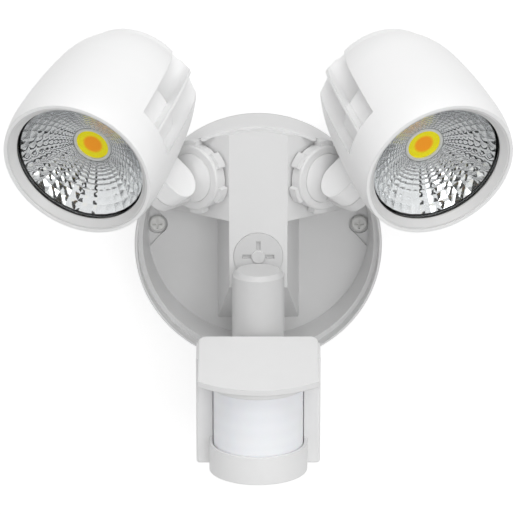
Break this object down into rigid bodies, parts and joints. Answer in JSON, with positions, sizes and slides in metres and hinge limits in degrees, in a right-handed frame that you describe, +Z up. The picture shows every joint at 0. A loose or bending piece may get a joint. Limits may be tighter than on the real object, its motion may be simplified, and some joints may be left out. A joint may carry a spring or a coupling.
{
  "type": "motion sensor security light",
  "caption": "Wall-mounted twin-head LED security light with a round base, swivelling lamp heads with finned backs, and a hooded motion sensor on a short arm.",
  "frame": {"origin": "centre of the rear (wall) face", "axes": "+Z up, +X to the right seen from the front, the light faces -Y and the wall is the plane Y = 0"},
  "size_m": [0.2426, 0.1235, 0.2037],
  "materials": {
    "canopy_coat": "satin",
    "head_coat": "satin",
    "white_plastic": "satin",
    "plate_steel": "zinc plated",
    "screw_steel": "plated",
    "white_screw": "satin",
    "ground_green": "satin",
    "foam_rubber": "matt",
    "black_rubber": "matt",
    "driver_case": "matt",
    "terminal_plastic": "matt",
    "clear_glass": "polished",
    "mirror_coat": "polished",
    "board_white": "matt",
    "phosphor": "matt",
    "holder_white": "satin",
    "lens_film": "satin",
    "board_green": "satin",
    "detector_can": "satin",
    "dial_grey": "matt"
  },
  "bodies": {
    "base": {"base_gasket": "foam_rubber", "wall_plate": "plate_steel", "ground_screw": "ground_green", "led_driver": "driver_case", "terminal_block": "terminal_plastic", "canopy": "canopy_coat", "cover_screws": "white_screw", "arm_retainer": "plate_steel", "swivel_seal_left": "black_rubber", "swivel_seal_right": "black_rubber"},
    "lock_nut_left": {"lock_nut_left": "white_plastic"},
    "swivel_left": {"swivel_left": "head_coat", "swivel_retainer_left": "plate_steel"},
    "head_left": {"head_housing_left": "head_coat", "retaining_ring_left": "head_coat", "glass_gasket_left": "black_rubber", "head_glass_left": "clear_glass", "reflector_left": "mirror_coat", "led_board_left": "board_white", "led_emitter_left": "phosphor", "led_holder_left": "holder_white", "pivot_screw_left": "screw_steel"},
    "lock_nut_right": {"lock_nut_right": "white_plastic"},
    "swivel_right": {"swivel_right": "head_coat", "swivel_retainer_right": "plate_steel"},
    "head_right": {"head_housing_right": "head_coat", "retaining_ring_right": "head_coat", "glass_gasket_right": "black_rubber", "head_glass_right": "clear_glass", "reflector_right": "mirror_coat", "led_board_right": "board_white", "led_emitter_right": "phosphor", "led_holder_right": "holder_white", "pivot_screw_right": "screw_steel"},
    "arm": {"sensor_arm": "white_plastic", "arm_bolt": "white_plastic", "arm_nut": "screw_steel", "collar_clip": "screw_steel"},
    "collar": {"sensor_collar": "white_plastic", "tilt_screws": "screw_steel"},
    "sensor": {"sensor_back": "white_plastic", "sensor_housing": "white_plastic", "sensor_hood": "white_plastic", "sensor_lens": "lens_film", "sensor_board": "board_green", "pyro_detector": "detector_can", "dial_board": "board_green"},
    "time_dial": {"time_dial": "dial_grey"},
    "range_dial": {"range_dial": "dial_grey"},
    "dusk_dial": {"dusk_dial": "dial_grey"}
  },
  "joints": [
    {"name": "lock_nut_turn_left", "type": "hinge", "parent": "base", "child": "lock_nut_left", "pos_m": [-0.0283, -0.03106, 0.035], "axis": [-0.6157, -0.788, 0], "range_deg": [0, 90]},
    {"name": "head_swivel_left", "type": "hinge", "parent": "base", "child": "swivel_left", "pos_m": [-0.0283, -0.03106, 0.035], "axis": [-0.6157, -0.788, 0], "range_deg": [-30, 22]},
    {"name": "head_tilt_left", "type": "hinge", "parent": "swivel_left", "child": "head_left", "pos_m": [-0.04123, -0.04761, 0.035], "axis": [0.6502, -0.508, 0.565], "range_deg": [-2, 40]},
    {"name": "lock_nut_turn_right", "type": "hinge", "parent": "base", "child": "lock_nut_right", "pos_m": [0.0283, -0.03106, 0.035], "axis": [-0.6157, 0.788, 0], "range_deg": [0, 90]},
    {"name": "head_swivel_right", "type": "hinge", "parent": "base", "child": "swivel_right", "pos_m": [0.0283, -0.03106, 0.035], "axis": [-0.6157, 0.788, 0], "range_deg": [-30, 22]},
    {"name": "head_tilt_right", "type": "hinge", "parent": "swivel_right", "child": "head_right", "pos_m": [0.04123, -0.04761, 0.035], "axis": [0.6502, 0.508, -0.565], "range_deg": [-2, 40]},
    {"name": "arm_swing", "type": "hinge", "parent": "base", "child": "arm", "pos_m": [0, -0.042, -0.0037], "axis": [0, -1, 0], "range_deg": [-45, 45]},
    {"name": "sensor_pan", "type": "hinge", "parent": "arm", "child": "collar", "pos_m": [0, -0.056, -0.06], "axis": [0, 0, 1], "range_deg": [-45, 45]},
    {"name": "sensor_tilt", "type": "hinge", "parent": "collar", "child": "sensor", "pos_m": [0, -0.056, -0.06], "axis": [1, 0, 0], "range_deg": [-10, 25]},
    {"name": "time_dial_turn", "type": "hinge", "parent": "sensor", "child": "time_dial", "pos_m": [-0.012, -0.103, -0.094], "axis": [0, 0, -1], "range_deg": [-135, 135]},
    {"name": "range_dial_turn", "type": "hinge", "parent": "sensor", "child": "range_dial", "pos_m": [0, -0.103, -0.094], "axis": [0, 0, -1], "range_deg": [-135, 135]},
    {"name": "dusk_dial_turn", "type": "hinge", "parent": "sensor", "child": "dusk_dial", "pos_m": [0.012, -0.103, -0.094], "axis": [0, 0, -1], "range_deg": [-135, 135]}
  ]
}
